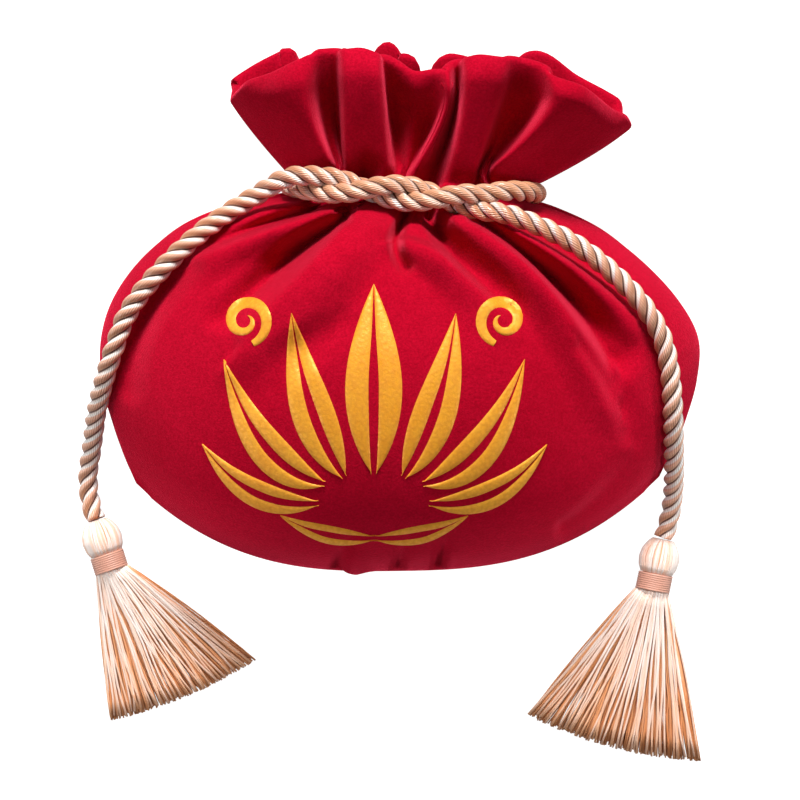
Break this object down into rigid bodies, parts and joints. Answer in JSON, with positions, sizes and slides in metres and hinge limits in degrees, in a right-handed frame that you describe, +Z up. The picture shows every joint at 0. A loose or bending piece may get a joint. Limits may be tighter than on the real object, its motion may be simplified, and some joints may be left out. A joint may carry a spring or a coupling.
{
  "type": "velvet drawstring bag",
  "caption": "Filled velvet pouch lying on its back, tied at a gathered neck under a ruffled mouth by a twisted satin cord with a tassel on each end.",
  "frame": {"origin": "on the floor, under the middle of the pouch's box without the cord and its tassels", "axes": "+Z up from the floor through the front, +X across the front to the right, +Y from the bottom seam towards the mouth"},
  "size_m": [0.1985, 0.2292, 0.0657],
  "materials": {
    "velvet": "deep crimson cut-pile velvet",
    "satin_cord": "glossy three-ply twisted satin, beige-pink",
    "tassel_thread": "glossy fine thread, cream-pink",
    "wrap_thread": "glossy wound thread, pinkish brown"
  },
  "bodies": {
    "root": {"front_panel": "velvet", "back_panel": "velvet", "drawstring_cord": "satin_cord", "left_tassel": "tassel_thread", "right_tassel": "tassel_thread", "left_tassel_wrap": "wrap_thread", "right_tassel_wrap": "wrap_thread"}
  },
  "joints": []
}
